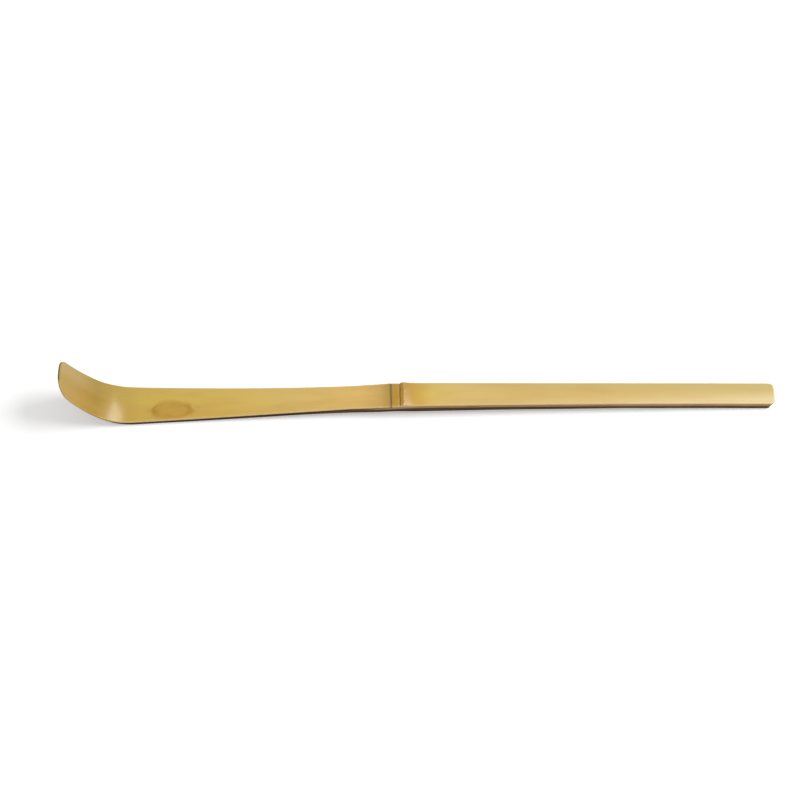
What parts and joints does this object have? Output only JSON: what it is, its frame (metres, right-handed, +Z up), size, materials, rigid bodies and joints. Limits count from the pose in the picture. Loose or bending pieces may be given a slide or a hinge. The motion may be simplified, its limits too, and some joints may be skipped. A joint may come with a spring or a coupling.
{
  "type": "tea scoop",
  "caption": "Slim carved bamboo tea scoop: upturned rounded tip, tapering shaft, ridged node at mid-length and straight handle, for lifting powdered tea.",
  "frame": {"origin": "under the middle of the whole scoop, on the surface that it lies on, skin side up on its heel and the end of its handle", "axes": "+X along the strip from the raised tip to the end of the handle, +Y across the strip, +Z up, out of the skin"},
  "size_m": [0.1808, 0.0112, 0.0153],
  "materials": {
    "bamboo_rind": "satin natural skin, rubbed smooth by handling",
    "bamboo_node": "satin, darker rings with fine dry wrinkles",
    "bamboo_flesh": "knife-cut and sanded, dry matt grain"
  },
  "bodies": {
    "root": {"scoop_rind": "bamboo_rind", "scoop_flesh": "bamboo_flesh", "sheath_ring": "bamboo_node", "stem_ridge": "bamboo_node", "node_core": "bamboo_flesh", "handle_rind": "bamboo_rind", "handle_flesh": "bamboo_flesh"}
  },
  "joints": []
}
